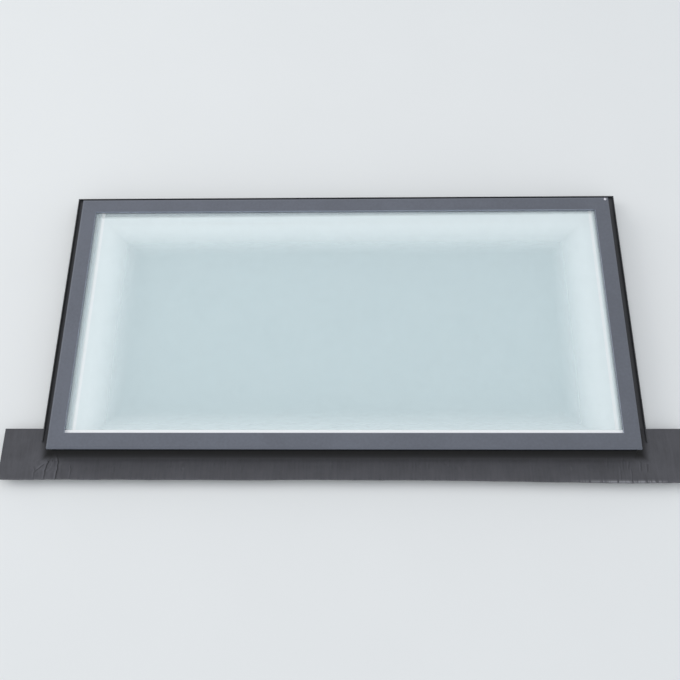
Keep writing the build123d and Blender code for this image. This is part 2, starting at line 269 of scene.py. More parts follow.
def powder_coat(colours):
    """Satin polyester powder coat, oven cured: a soft broad sheen with fine orange peel."""
    made, tree, shader, spot = start("satin_powder_coat", {"IOR": 1.5})
    # Rain leaves an uneven film of dust in patches about 300 mm wide, with spots of 18 mm
    film = add(tree, "TexNoise", {"Vector": spot, "Scale": per_metre(300), "Detail": 5})[0]
    grit = add(tree, "TexNoise", {"Vector": spot, "Scale": per_metre(18), "Detail": 3})[0]
    both = add(tree, "Math", {0: film, 1: grit}, operation="ADD")[0]
    # Painted light: the coat is painted paler towards the left end of the skylight than towards the right
    # end
    painted_light_slope = -0.1
    across = add(tree, "SeparateXYZ", {"Vector": spot})["X"]
    share_with_painted_light = add(tree, "Math", {0: across, 1: painted_light_slope, 2: both}, operation="MULTIPLY_ADD")[0]
    share = add(tree, "MapRange", {"Value": share_with_painted_light, "From Min": 0.7, "From Max": 1.3})[0]
    dark, light = shaded(colours.coating, 0.9), shaded(colours.coating, 1.1)
    tone = add(tree, "Mix", {0: share, MIX_A: dark, MIX_B: light}, data_type="RGBA")[MIX_RESULT]
    # Painted light: the outer faces of the capping are painted paler, and the coat that stands up beside the
    # glass far paler, so that faces the lamp leaves in shade read as lit
    away = beyond_sight_line(tree, spot)
    outer = add(tree, "Math", {0: away, 1: CAP_WIDTH - 1 * MM}, operation="GREATER_THAN")[0]
    inner = add(tree, "Math", {0: away, 1: 1 * MM}, operation="LESS_THAN")[0]
    for face, painted_light_factor in ((outer, 1.35), (inner, 2.5)):
        dust_and_painted_light = shaded(colours.coating, painted_light_factor)
        tone = add(tree, "Mix", {0: face, MIX_A: tone, MIX_B: dust_and_painted_light}, data_type="RGBA")[MIX_RESULT]
    sheen = add(
        tree, "MapRange", {"Value": both, "From Min": 0.6, "From Max": 1.4, "To Min": 0.4, "To Max": 0.52}
    )[0]
    # Orange peel is about 1.5 mm from crest to crest, drawn at 6 mm so that it shows
    peel = add(tree, "TexNoise", {"Vector": spot, "Scale": per_metre(6), "Detail": 1})[0]
    bump = add(tree, "Bump", {"Height": peel, "Strength": 0.12, "Distance": 0.2 * MM})[0]
    fill(tree, shader, {"Base Color": tone, "Roughness": sheen, "Normal": bump})
    return made


def dust_and_light_by_capping(tree, part, from_side):
    """Share of the film on the outer pane, which thickens towards the capping: painted light that brightens
    the pane's edges and lifts the kerb's shade.
    """
    from_head = add(tree, "Math", {0: part["Y"], 1: SIGHT_Y}, operation="SUBTRACT")[0]
    nearest = add(tree, "Math", {0: from_side, 1: from_head}, operation="MAXIMUM")[0]
    # The painted film reaches 400 mm in from the head and the sides, but only 200 mm from the sill
    painted_falloff = -SIGHT_Y - 200 * MM
    from_sill = add(tree, "Math", {0: part["Y"], 1: -1.0, 2: painted_falloff}, operation="MULTIPLY_ADD")[0]
    nearest = add(tree, "Math", {0: nearest, 1: from_sill}, operation="MAXIMUM")[0]
    edge = add(
        tree,
        "MapRange",
        {"Value": nearest, "From Min": -400 * MM, "From Max": -100 * MM},
        interpolation_type="SMOOTHSTEP",
    )[0]
    # The film is painted thinner over the last 20 to 50 mm at the head and the sides
    leaned_edge_distance = add(tree, "Math", {0: part["X"], 1: FILM_LEAN, 2: nearest}, operation="MULTIPLY_ADD")[0]
    thinned_at_edge = add(
        tree,
        "MapRange",
        {"Value": leaned_edge_distance, "From Min": -45 * MM, "From Max": -20 * MM, "To Min": 1, "To Max": 0.35},
    )[0]
    return add(tree, "Math", {0: edge, 1: thinned_at_edge}, operation="MULTIPLY")[0]


def painted_light_lines(tree, part, from_side):
    """Share of the painted light lines along the sill and the sides of the outer pane."""
    # A white line 30 mm wide is painted against the sill: a painted highlight that also lifts the kerb's
    # shade there
    at_sill = add(
        tree,
        "MapRange",
        {"Value": part["Y"], "From Min": 30 * MM - SIGHT_Y, "From Max": 23 * MM - SIGHT_Y, "To Max": 1.5},
    )[0]
    # A fainter painted highlight line, 24 mm wide, runs along both sides
    middle, half_width, strength = -48 * MM, 12 * MM, 0.6
    leaned_edge_distance = add(tree, "Math", {0: part["X"], 1: FILM_LEAN, 2: from_side}, operation="MULTIPLY_ADD")[0]
    light_line = add(tree, "Math", {0: leaned_edge_distance, 1: middle, 2: half_width}, operation="COMPARE")[0]
    at_sides = add(tree, "Math", {0: light_line, 1: strength}, operation="MULTIPLY")[0]
    return add(tree, "Math", {0: at_sill, 1: at_sides}, operation="MAXIMUM")[0]


def dust_and_painted_light_film(tree, spot, colours):
    """Share and shader of the thin pale film on the outer pane: an even haze of dust, with painted light
    thickening it towards the edges.
    """
    part = add(tree, "SeparateXYZ", {"Vector": spot})
    across = add(tree, "Math", {0: part["X"]}, operation="ABSOLUTE")[0]
    from_side = add(tree, "Math", {0: across, 1: SIGHT_X}, operation="SUBTRACT")[0]
    # Painted light: the film thickens towards the capping and along the painted lines
    dust = dust_and_light_by_capping(tree, part, from_side)
    light_lines = painted_light_lines(tree, part, from_side)
    thick = add(tree, "Math", {0: dust, 1: light_lines}, operation="MAXIMUM")[0]
    # A haze in patches 160 mm wide lies all over the pane
    patch = add(
        tree, "TexNoise", {"Vector": spot, "Scale": per_metre(160), "Detail": 6, "Roughness": 0.6}
    )[0]
    haze = add(
        tree, "MapRange", {"Value": patch, "From Min": 0.3, "From Max": 0.7, "To Min": 0.03, "To Max": 0.06}
    )[0]
    # The film by the capping covers up to 55% of the glass, and the painted line at the sill 83%
    cover = 0.55
    share = add(tree, "Math", {0: thick, 1: cover, 2: haze}, operation="MULTIPLY_ADD")[0]
    dust_and_painted_light, white = shaded(colours.glass_dust_and_light), shaded((1.0, 1.0, 1.0))
    tone = add(tree, "Mix", {0: light_lines, MIX_A: dust_and_painted_light, MIX_B: white}, data_type="RGBA")[MIX_RESULT]
    return share, add(tree, "BsdfDiffuse", {"Color": tone})[0]


def float_glass(name, colours, dust_and_painted_light):
    """Clear float glass, fire polished: sharp reflections and a faint blue-green body tint."""
    body = {"Base Color": shaded(colours.glass_tint), "Roughness": 0, "IOR": 1.52, "Transmission Weight": 1}
    made, tree, shader, spot = start(name, body)
    surface = shader.outputs[0]
    # The outer pane gets the film of dust and painted light
    if dust_and_painted_light:
        share, film_shader = dust_and_painted_light_film(tree, spot, colours)
        surface = add(tree, "MixShader", {0: share, 1: surface, 2: film_shader})[0]
    # Lamps and the light between surfaces pass straight through, and each of the pane's two
    # faces gives half of the tint
    path = add(tree, "LightPath", {})
    one_face = [part**0.5 for part in colours.glass_tint]
    clear = add(tree, "BsdfTransparent", {"Color": shaded(one_face)})[0]
    for kind in ("Is Diffuse Ray", "Is Shadow Ray"):
        surface = add(tree, "MixShader", {0: path[kind], 1: surface, 2: clear})[0]
    tree.links.new(surface, tree.nodes["Material Output"].inputs["Surface"])
    return made


def spruce(name, colours, axis):
    """Planed spruce with long pale grain, primed white on the face towards the opening."""
    made, tree, shader, spot = start(name, {"IOR": 1.5})
    # Year rings are 2 to 4 mm wide, drawn at 9 mm so that they show
    along = add(tree, "Mapping", {"Vector": spot, "Scale": drawn_out(9, 260, axis)})[0]
    grain = add(tree, "TexNoise", {"Vector": along, "Scale": 1.0, "Detail": 5, "Distortion": 0.4})[0]
    dark, light = shaded(colours.spruce, 0.62), shaded(colours.spruce, 1.2)
    tone = add(tree, "Mix", {0: grain, MIX_A: dark, MIX_B: light}, data_type="RGBA")[MIX_RESULT]
    # Knots are about 20 mm across the grain and sit some 500 mm apart along it
    apart = add(tree, "Mapping", {"Vector": spot, "Scale": drawn_out(140, 520, axis)})[0]
    cell = add(tree, "TexVoronoi", {"Vector": apart, "Scale": 1.0})["Distance"]
    knot = add(
        tree, "MapRange", {"Value": cell, "From Min": 0.05, "From Max": 0.11, "To Min": 1, "To Max": 0}
    )[0]
    inner = add(tree, "Math", {0: beyond_sight_line(tree, spot), 1: 0.4 * MM}, operation="LESS_THAN")[0]
    for place, colour in ((knot, shaded(colours.spruce, 0.3)), (inner, shaded(colours.primer))):
        tone = add(tree, "Mix", {0: place, MIX_A: tone, MIX_B: colour}, data_type="RGBA")[MIX_RESULT]
    sheen = add(
        tree, "MapRange", {"Value": grain, "From Min": 0.2, "From Max": 0.8, "To Min": 0.5, "To Max": 0.7}
    )[0]
    bump = add(tree, "Bump", {"Height": grain, "Strength": 0.25, "Distance": 0.5 * MM})[0]
    fill(tree, shader, {"Base Color": tone, "Roughness": sheen, "Normal": bump})
    return made


def mill_aluminium(name, axis):
    """Extruded aluminium without a coat: a grey half-gloss metal with lines along its length."""
    made, tree, shader, spot = start(name, {"Metallic": 1.0})
    # Lines from the die are finer than 1 mm, drawn 2.5 mm wide so that they show
    along = add(tree, "Mapping", {"Vector": spot, "Scale": drawn_out(2.5, 400, axis)})[0]
    lines = add(tree, "TexNoise", {"Vector": along, "Scale": 1.0, "Detail": 2})[0]
    dark, light = shaded(linear("#A9ABAE")), shaded(linear("#CFD1D3"))
    tone = add(tree, "Mix", {0: lines, MIX_A: dark, MIX_B: light}, data_type="RGBA")[MIX_RESULT]
    sheen = add(
        tree, "MapRange", {"Value": lines, "From Min": 0.2, "From Max": 0.8, "To Min": 0.32, "To Max": 0.46}
    )[0]
    bump = add(tree, "Bump", {"Height": lines, "Strength": 0.3, "Distance": 0.05 * MM})[0]
    fill(tree, shader, {"Base Color": tone, "Roughness": sheen, "Normal": bump})
    return made


def mottled(name, colour, spread, roughness, patch_mm, relief_mm):
    """Rubber, sealant, foam or moulded plastic: one colour, broken up by its own fine surface."""
    made, tree, shader, spot = start(name, {"IOR": 1.5})
    # The real grain is finer than 1 mm, drawn in patches of 3 to 12 mm so that it shows
    patch = add(tree, "TexNoise", {"Vector": spot, "Scale": per_metre(patch_mm), "Detail": 3})[0]
    dark, light = shaded(colour, 1 - spread), shaded(colour, 1 + spread)
    tone = add(tree, "Mix", {0: patch, MIX_A: dark, MIX_B: light}, data_type="RGBA")[MIX_RESULT]
    sheen = add(
        tree, "MapRange", {"Value": patch, "To Min": roughness - 0.08, "To Max": roughness + 0.08}
    )[0]
    bump = add(tree, "Bump", {"Height": patch, "Strength": 0.4, "Distance": relief_mm * MM})[0]
    fill(tree, shader, {"Base Color": tone, "Roughness": sheen, "Normal": bump})
    return made


def coil_coat(colours):
    """Coil-coated aluminium sheet, roller painted and then folded: matt, with dried rain marks."""
    made, tree, shader, spot = start("matt_coil_coat", {"IOR": 1.5})
    # Rain marks are 25 mm wide, and patches of dust 120 mm
    drawn = add(tree, "Mapping", {"Vector": spot, "Scale": DOWN_THE_SLOPE})[0]
    marks = add(tree, "TexNoise", {"Vector": drawn, "Scale": per_metre(25), "Detail": 4})[0]
    dust = add(tree, "TexNoise", {"Vector": spot, "Scale": per_metre(120), "Detail": 5})[0]
    both = add(tree, "Math", {0: marks, 1: dust}, operation="ADD")[0]
    share = add(tree, "MapRange", {"Value": both, "From Min": 0.7, "From Max": 1.3})[0]
    # The gutter colour is darkened partly as painted shade beside the capping
    dark, light = shaded(colours.gutter, 0.85), shaded(colours.gutter, 1.2)
    tone = add(tree, "Mix", {0: share, MIX_A: dark, MIX_B: light}, data_type="RGBA")[MIX_RESULT]
    sheen = add(tree, "MapRange", {"Value": share, "To Min": 0.42, "To Max": 0.6})[0]
    fill(tree, shader, {"Base Color": tone, "Roughness": sheen})
    return made


def zinc(name, spangle_mm, dark, light, roughness):
    """Zinc on steel, hot dipped with spangle or thinly plated: cool grey facets of frozen metal."""
    made, tree, shader, spot = start(name, {"Metallic": 1.0})
    facet = add(tree, "TexVoronoi", {"Vector": spot, "Scale": per_metre(spangle_mm)})["Color"]
    share = add(tree, "SeparateXYZ", {"Vector": facet})["X"]
    dark, light = shaded(linear(dark)), shaded(linear(light))
    tone = add(tree, "Mix", {0: share, MIX_A: dark, MIX_B: light}, data_type="RGBA")[MIX_RESULT]
    sheen = add(
        tree, "MapRange", {"Value": share, "To Min": roughness - 0.07, "To Max": roughness + 0.07}
    )[0]
    fill(tree, shader, {"Base Color": tone, "Roughness": sheen})
    return made


def painted_crease_light(tree, tone, lead):
    """Colour of the creased lead: a painted highlight on the crests and painted shade in the valleys."""
    highlight_strength = 0.75
    crest = add(tree, "Attribute", {}, attribute_name="crest")["Fac"]
    crest_highlight = add(tree, "Math", {0: crest, 1: highlight_strength}, operation="MULTIPLY", use_clamp=True)[0]
    valley = add(tree, "Attribute", {}, attribute_name="valley")["Fac"]
    for place, colour in ((crest_highlight, shaded(lead, 2.2)), (valley, shaded(lead, 0.15))):
        tone = add(tree, "Mix", {0: place, MIX_A: tone, MIX_B: colour}, data_type="RGBA")[MIX_RESULT]
    return tone


def painted_shade_band(tree, spot, unshaded):
    """Colour of the lead with a band of painted shade beside the collar, under the capping's overhang."""
    # The painted shade darkens 80 mm of the sheet beyond the collar, and 30 mm more at the sides
    edge = COLLAR_SIDE - SIGHT_X
    painted_falloff = add(
        tree,
        "MapRange",
        {
            "Value": beyond_sight_line(tree, spot, wider=30 * MM),
            "From Min": edge + 12 * MM,
            "From Max": edge + 80 * MM,
            "To Min": 0.04,
        },
        interpolation_type="SMOOTHSTEP",
    )[0]
    black = shaded((0.0, 0.0, 0.0))
    return add(tree, "Mix", {0: painted_falloff, MIX_A: black, MIX_B: unshaded}, data_type="RGBA")[MIX_RESULT]


def patinated_lead(colours):
    """Rolled lead sheet with a dull grey patina, dressed by hand: soft sheen, streaks, and painted light and
    shade on the creases, the front edge and beside the collar.
    """
    made, tree, shader, spot = start("patinated_lead", {"Metallic": 0.3})
    # Run-off streaks are 14 mm wide, and the patina blooms in patches of 110 mm
    drawn = add(tree, "Mapping", {"Vector": spot, "Scale": DOWN_THE_SLOPE})[0]
    streaks = add(
        tree, "TexNoise", {"Vector": drawn, "Scale": per_metre(14), "Detail": 5, "Roughness": 0.6}
    )[0]
    bloom = add(
        tree, "TexNoise", {"Vector": spot, "Scale": per_metre(110), "Detail": 6, "Roughness": 0.6}
    )[0]
    both = add(tree, "Math", {0: streaks, 1: bloom}, operation="ADD")[0]
    share = add(tree, "MapRange", {"Value": both, "From Min": 0.65, "From Max": 1.35})[0]
    dark, light = shaded(colours.lead, 0.8), shaded(colours.lead, 1.24)
    patina = add(tree, "Mix", {0: share, MIX_A: dark, MIX_B: light}, data_type="RGBA")[MIX_RESULT]
    # Painted shade beside the collar, over painted highlight and shade on the creases
    lead_with_shade = painted_shade_band(tree, spot, painted_crease_light(tree, patina, colours.lead))
    # Painted highlight: the turned-up front edge is painted pale here and there
    rim_highlight = add(tree, "Attribute", {}, attribute_name="rim_highlight")["Fac"]
    highlight_patches = add(tree, "MapRange", {"Value": streaks, "From Min": 0.4, "From Max": 0.5})[0]
    edge_highlight = add(tree, "Math", {0: rim_highlight, 1: highlight_patches}, operation="MULTIPLY")[0]
    highlight_grey = shaded(linear("#94959A"))
    tone = add(tree, "Mix", {0: edge_highlight, MIX_A: lead_with_shade, MIX_B: highlight_grey}, data_type="RGBA")[MIX_RESULT]
    sheen = add(tree, "MapRange", {"Value": share, "To Min": 0.46, "To Max": 0.66})[0]
    # Marks of the dressing stick, about 9 mm apart
    stick = add(tree, "TexNoise", {"Vector": spot, "Scale": per_metre(9), "Detail": 2})[0]
    bump = add(tree, "Bump", {"Height": stick, "Strength": 0.35, "Distance": 0.6 * MM})[0]
    fill(tree, shader, {"Base Color": tone, "Roughness": sheen, "Normal": bump})
    return made


def dried_dropping():
    """Dried bird dropping: chalky white with grey-brown specks about 5 mm wide."""
    made, tree, shader, spot = start("dried_dropping", {"Roughness": 0.85, "IOR": 1.45})
    patch = add(tree, "TexNoise", {"Vector": spot, "Scale": per_metre(5), "Detail": 4})[0]
    share = add(tree, "MapRange", {"Value": patch, "From Min": 0.6, "From Max": 0.75})[0]
    white, brown = shaded(linear("#DCDBE2")), shaded(linear("#9A9386"))
    tone = add(tree, "Mix", {0: share, MIX_A: white, MIX_B: brown}, data_type="RGBA")[MIX_RESULT]
    fill(tree, shader, {"Base Color": tone})
    return made


def floor_paint(colours):
    """Matt painted floor, rolled: pale and even, with the faintest clouds 900 mm wide."""
    made, tree, shader, spot = start("matt_floor_paint", {"Roughness": 0.8, "IOR": 1.45})
    cloud = add(tree, "TexNoise", {"Vector": spot, "Scale": per_metre(900), "Detail": 3})[0]
    dark, light = shaded(colours.floor, 0.985), shaded(colours.floor, 1.015)
    tone = add(tree, "Mix", {0: cloud, MIX_A: dark, MIX_B: light}, data_type="RGBA")[MIX_RESULT]
    fill(tree, shader, {"Base Color": tone})
    return made


def finish_nodes(material, slot, *nodes):
    """Give CAD nodes a finish; the slot, the record's name for that finish, is not used."""
    for node in nodes:
        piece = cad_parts[node]
        piece.data.materials.clear()
        piece.data.materials.append(material)


def new_object(name, data):
    """New object in the scene that shows the given data."""
    made = bpy.data.objects.new(name, data)
    bpy.context.scene.collection.objects.link(made)
    return made


def new_piece(name, bm, material, sharp_angle=None):
    """Make a smooth piece that rides with the skylight, with its edges sharp beyond an angle."""
    mesh = bpy.data.meshes.new(name)
    bm.to_mesh(mesh)
    bm.free()
    mesh.shade_smooth()
    if sharp_angle:
        mesh.set_sharp_from_angle(angle=sharp_angle)
    mesh.materials.append(material)
    piece = new_object(name, mesh)
    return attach(piece, "root")


def bent(before, corner, after, radius, count):
    """Points of a bend of the given radius between two straight runs of a section."""
    arrive = (corner - before).normalized()
    leave = (after - corner).normalized()
    reach = radius * tan(arrive.angle(leave) / 2)
    first = corner - arrive * reach
    last = corner + leave * reach
    shares = [i / count for i in range(count + 1)]
    return [first.lerp(corner, t).lerp(corner.lerp(last, t), t) for t in shares]


def apron_section(sizes):
    """Outer face of the sheet as (distance out of the collar, level), down to the foot of the slope."""
    clearance = 0.3 * MM
    ground = APRON_LOW.z + sizes.sheet
    reach = -CANT_LOW.y - COLLAR_FRONT
    height = CANT_HIGH.z - CANT_LOW.z
    stand_off = Vector((height, reach)).normalized() * (sizes.sheet + clearance)
    slope = height / reach
    line = CANT_HIGH.z + stand_off.y + stand_off.x * slope
    knee = Vector((sizes.sheet, line - sizes.sheet * slope))
    foot = Vector(((line - ground) / slope, ground))
    back = Vector((-sizes.sheet_fold, APRON_HIGH.z))
    brow = Vector((sizes.sheet, APRON_HIGH.z))
    end = foot + Vector((sizes.sheet_bend * 2, 0))
    section = [back]
    section += bent(back, brow, knee, 1.5 * sizes.sheet, count=4)
    section += [brow.lerp(knee, t) for t in (0.3, 0.6)]
    section += bent(brow, knee, foot, sizes.sheet_bend, count=5)
    section += [knee.lerp(foot, t) for t in (0.3, 0.45, 0.6)]
    section += bent(knee, foot, end, sizes.sheet_bend, count=6)
    return section


# Creases of the dressed lead in plan, in metres: points along it, half width and height
# The left corner is crumpled, with two hard ridges; the right corner was dressed smoother
LEFT_CREASES = [
    (((-2.019, -1.0), (-2.023, -1.048), (-2.034, -1.081), (-2.036, -1.114), (-2.037, -1.21)), 0.018, 0.0085),
    (((-1.963, -0.998), (-1.955, -1.06), (-1.954, -1.1), (-1.956, -1.141), (-1.96, -1.21)), 0.017, 0.008),
    (((-1.862, -1.070), (-1.860, -1.090), (-1.858, -1.124), (-1.862, -1.175)), 0.013, 0.0034),
    (((-2.114, -1.087), (-2.107, -1.114), (-2.109, -1.170)), 0.014, 0.0032),
    (((-2.045, -1.062), (-2.056, -1.071), (-2.090, -1.103), (-2.105, -1.127)), 0.014, 0.0044),
    (((-1.996, -1.015), (-1.993, -1.035), (-1.994, -1.055)), 0.012, 0.0040),
    (((-1.930, -1.066), (-1.925, -1.125)), 0.011, 0.0024),
]
RIGHT_CREASES = [
    (((2.056, -1.050), (2.054, -1.090), (2.046, -1.125)), 0.012, 0.0030),
    (((2.013, -1.035), (2.012, -1.080), (2.006, -1.120)), 0.012, 0.0026),
    (((1.948, -1.095), (1.941, -1.180)), 0.011, 0.0020),
    (((1.937, -1.040), (1.929, -1.110)), 0.011, 0.0024),
    (((1.898, -1.010), (1.887, -1.110)), 0.011, 0.0018),
    (((1.875, -1.100), (1.866, -1.175)), 0.010, 0.0020),
    (((1.797, -1.010), (1.789, -1.085)), 0.011, 0.0016),
]


def small_creases():
    """Faint marks down the front of the sheet, left by the dresser."""
    count, seed = 64, 11
    draw = random.Random(seed)
    marks = []
    for _ in range(count):
        x = draw.uniform(-1.9, 1.9)
        start_y = draw.uniform(-1.03, -1.08)
        length = draw.uniform(0.03, 0.085)
        lean = draw.uniform(-0.012, 0.012)
        width = draw.uniform(0.007, 0.013)
        height = draw.uniform(0.0004, 0.0013)
        marks.append((((x, start_y), (x + lean, start_y - length)), width, height))
    return marks


def nearest_on(path, spot):
    """Distance from a path, negative on its left, and how far along it the nearest place is."""
    nearest = None
    for i, (first, last) in enumerate(zip(path, path[1:])):
        run = last - first
        away = spot - first
        share = clamp(away.dot(run) / run.length_squared)
        gap = (away - run * share).length
        if nearest is None or gap < nearest[0]:
            on_left = away.x * run.y < away.y * run.x
            nearest = (gap, -gap if on_left else gap, (i + share) / (len(path) - 1))
    return nearest[1:]


def crease_rise(spot, crease):
    """Height of one crease at a point in plan, and how much painted shade lies there at its steep foot."""
    points, width, height = crease
    path = [Vector(point) for point in points]
    lows = [min(point[i] for point in path) - 2 * width for i in (0, 1)]
    highs = [max(point[i] for point in path) + 2 * width for i in (0, 1)]
    if not (lows[0] < spot.x < highs[0] and lows[1] < spot.y < highs[1]):
        return 0.0, 0.0
    side, along = nearest_on(path, spot)
    # The crease strays by up to 4 mm from its line
    stray = 4 * MM
    side += stray * noise.noise(Vector((spot.y * 45, spot.x * 9, height * 1000)))
    # A dressed crease leans: one flank falls away over its whole half width, the other over a third
    steep = width / 3
    flank = 1 - side / width if side > 0 else 1 + side / steep
    # It rises within the first fifth of its length and fades over the last 30%
    fade = max(0.0, min(1.0, 5 * along + 0.15, 3 * (1.05 - along)))
    # Painted shade lies at the steep foot of the crease
    valley_shade = max(0.0, 1 - abs(side + steep) / (1.3 * steep)) ** 0.6
    return height * fade * max(0.0, flank) ** 1.2, valley_shade * fade * min(1.0, height / FULL_CREASE_LIGHT)


def crumple(spot):
    """Small folds between the hard ridges, which die out 150 mm from the left corner."""
    corner, reach, height = Vector((-2.03, -1.07)), 150 * MM, 2.6 * MM
    near = 1 - (spot - corner).length / reach
    fine = Vector((spot.x * 30, spot.y * 22, 2.0))
    return height * max(0.0, near) * (1 - min(1.0, 3 * abs(noise.noise(fine))))


def waviness(spot):
    """Long waves of the dressed sheet with shorter ones on them, never below 0."""
    long_wave = noise.noise(Vector((spot.x * 4.2, spot.y * 8, 3.0)))
    short_wave = noise.noise(Vector((spot.x * 17, spot.y * 11, 8.0)))
    return 0.5 + 0.5 * long_wave + 0.35 * (0.5 + 0.5 * short_wave)


def apron_columns(corner):
    """Stations round the kerb: sides, corner fans and front, as (kind, mirrored, share or place)."""
    side_count, fan_count, end_count, middle_count = 12, 96, 60, 370
    side = [("side", i / side_count) for i in range(side_count)]
    turn = [("fan", i / fan_count) for i in range(fan_count + 1)]
    half = COLLAR_SIDE - corner
    # The stations stand closer within 200 mm of both ends of the front, among the creases
    fine = 200 * MM
    ends = [half - fine * i / end_count for i in range(1, end_count)]
    inside = [(half - fine) * (1 - 2 * i / middle_count) for i in range(middle_count + 1)]
    front = [("front", False, x) for x in [-x for x in ends + inside] + ends[::-1]]
    left = [(kind, False, share) for kind, share in side + turn]
    right = [(kind, True, share) for kind, share in reversed(side + turn)]
    return left + front + right


def apron_rows(sizes):
    """Rows from the fold to the front edge, as (out of the collar, level, share of the flat)."""
    section, flat_count = apron_section(sizes), 30
    foot = section[-1]
    flat = [(foot.x, foot.y, (i + 1) / flat_count) for i in range(flat_count)]
    return [(point.x, point.y, 0.0) for point in section] + flat


def apron_point(column, row, sizes, corner):
    """Place of one point of the sheet before it is creased."""
    kind, mirrored, share = column
    out, level, spread = row
    wall_y = COLLAR_FRONT + out
    if kind == "front":
        return Vector((share, -wall_y - spread * (-APRON_LOW.y - wall_y), level))
    hub_x = COLLAR_SIDE + sizes.sheet - corner
    hub_y = wall_y - corner
    angle = share * pi / 2 if kind == "fan" else 0.0
    tiny = 1e-6
    across = (-APRON_LOW.x - hub_x) / max(cos(angle), tiny)
    down = (-APRON_LOW.y - hub_y) / max(sin(angle), tiny)
    # The power of a superellipse that keeps the cut corner of the sheet nearly square
    power = 32
    reach = (across**-power + down**-power) ** (-1 / power)
    radius = corner + spread * (reach - corner)
    spot = Vector((-hub_x, -hub_y)) - radius * Vector((cos(angle), sin(angle)))
    if kind == "side":
        spot.y = APRON_HIGH.y + share * (spot.y - APRON_HIGH.y)
    return Vector((-spot.x if mirrored else spot.x, spot.y, level))


def rim_shine(spot, rows_in):
    """How bright the painted highlight on the turned-up bend of the front edge is, most of all near the
    right corner.
    """
    turned = max(0.0, 1 - abs(rows_in - 1) / 1.3)
    shown = min((spot.x - 1.5) / 0.3, (2.2 - spot.x) / 0.1, 1.0)
    return turned * max(0.1, shown)


def lay_sheet(bm, rows, columns, sizes, corner):
    """Lay the plain sheet, and return its vertices by column and row."""
    rim_highlight = bm.verts.layers.float["rim_highlight"]
    # At both sides the sheet starts 3 mm below the top of the gutters
    side_top = GUTTER_TOP - 3 * MM
    side_start = next(i for i, row in enumerate(rows) if row[1] < side_top)
    # Beyond this line lies the front edge alone, and not the cut ends of the wings
    front_line = 0.97 * APRON_LOW.y
    grid = {}
    for c, column in enumerate(columns):
        at_side = column[0] != "front"
        for r in range(side_start if at_side else 0, len(rows)):
            spot = apron_point(column, rows[r], sizes, corner)
            grid[c, r] = bm.verts.new(spot)
            if not at_side or spot.y < front_line:
                grid[c, r][rim_highlight] = rim_shine(spot, len(rows) - 1 - r)
    for c in range(len(columns) - 1):
        for r in range(len(rows) - 1):
            square = [grid.get(key) for key in ((c, r), (c + 1, r), (c + 1, r + 1), (c, r + 1))]
            if None not in square:
                bm.faces.new(square)
    return grid


def press_creases(bm, grid, rows, sizes):
    """Raise the waves and creases out of the sheet, and mark their crests and valleys."""
    crest = bm.verts.layers.float["crest"]
    valley = bm.verts.layers.float["valley"]
    creases = LEFT_CREASES + RIGHT_CREASES + small_creases()
    # The upright part above the knee stays plain
    knee = next(i for i, row in enumerate(rows) if row[0] > 1.5 * sizes.sheet)
    bm.normal_update()
    moved = []
    for (_, r), vertex in grid.items():
        # The wings stay flat where they pass under the gutters
        free = clamp((GUTTER_END - 8 * MM - vertex.co.y) / (20 * MM))
        if r < knee or not free:
            continue
        flat = Vector((vertex.co.x, vertex.co.y))
        found = [crease_rise(flat, crease) for crease in creases]
        creased = sum(rise for rise, _ in found) + crumple(flat)
        # The slope is dressed down twice as hard as the flat
        loose = 0.5 if rows[r][2] == 0 else 1.0
        moved.append((vertex, free * loose * (sizes.sheet_wave * waviness(flat) + creased)))
        vertex[crest] = creased / FULL_CREASE_LIGHT
        vertex[valley] = min(0.9, max(valley_shade for _, valley_shade in found))
    for vertex, rise in moved:
        vertex.co += vertex.normal * rise


def cut_edge(grid, rows, sizes):
    """Let the cut front edge wander, and stand farther out towards its right end."""
    for (_, r), vertex in grid.items():
        # Only the last fifth of the flat is drawn out
        pull = max(0.0, rows[r][2] - 0.8) / 0.2
        if pull and vertex.co.y < GUTTER_END:
            wander = noise.noise(Vector((vertex.co.x * 3.1, 1.5, 4.0)))
            wander += 0.3 * noise.noise(Vector((vertex.co.x * 17, 5.5, 1.0)))
            longer = clamp((vertex.co.x - 0.6) / 1.2)
            vertex.co.y -= pull * (sizes.edge_over * (1 + 1.2 * longer) + sizes.edge_wave * wander)


def dressed_sheet(sizes):
    """Lead sheet dressed over the cant strip, out over the slope and round both corners of the kerb."""
    bm = bmesh.new()
    for layer in ("crest", "valley", "rim_highlight"):
        bm.verts.layers.float.new(layer)
    corner = 3 * sizes.sheet
    rows = apron_rows(sizes)
    grid = lay_sheet(bm, rows, apron_columns(corner), sizes, corner)
    press_creases(bm, grid, rows, sizes)
    cut_edge(grid, rows, sizes)
    bmesh.ops.solidify(bm, geom=bm.faces[:], thickness=sizes.sheet)
    bmesh.ops.recalc_face_normals(bm, faces=bm.faces[:])
    return bm


# The wood screws in the fixing brackets
BRACKET_SCREW = {
    "diameter": 5 * MM,
    "length": 38 * MM,
    "across_flats": 8 * MM,
    "head_height": 3 * MM,
}


def hexagon(angle, half_flat):
    """Distance from the middle of a hexagon to its side in a direction."""
    turn = angle % (pi / 3) - pi / 6
    return half_flat / cos(turn)


def screw_head(angles, across_flats, head_height):
    """Rings of a hexagon head and its washer, from the top down to the seat, as (radius, level)."""
    half = across_flats / 2
    bevel, washer, washer_edge = 0.7 * MM, 0.9 * MM, 0.8 * MM
    rings = [[(share * half, head_height)] * len(angles) for share in (0.35, 0.86)]
    rings += [[(hexagon(a, half), level) for a in angles] for level in (head_height - bevel, washer)]
    rings += [[(1.18 * half, washer_edge)] * len(angles), [(1.22 * half, 0.0)] * len(angles)]
    return rings


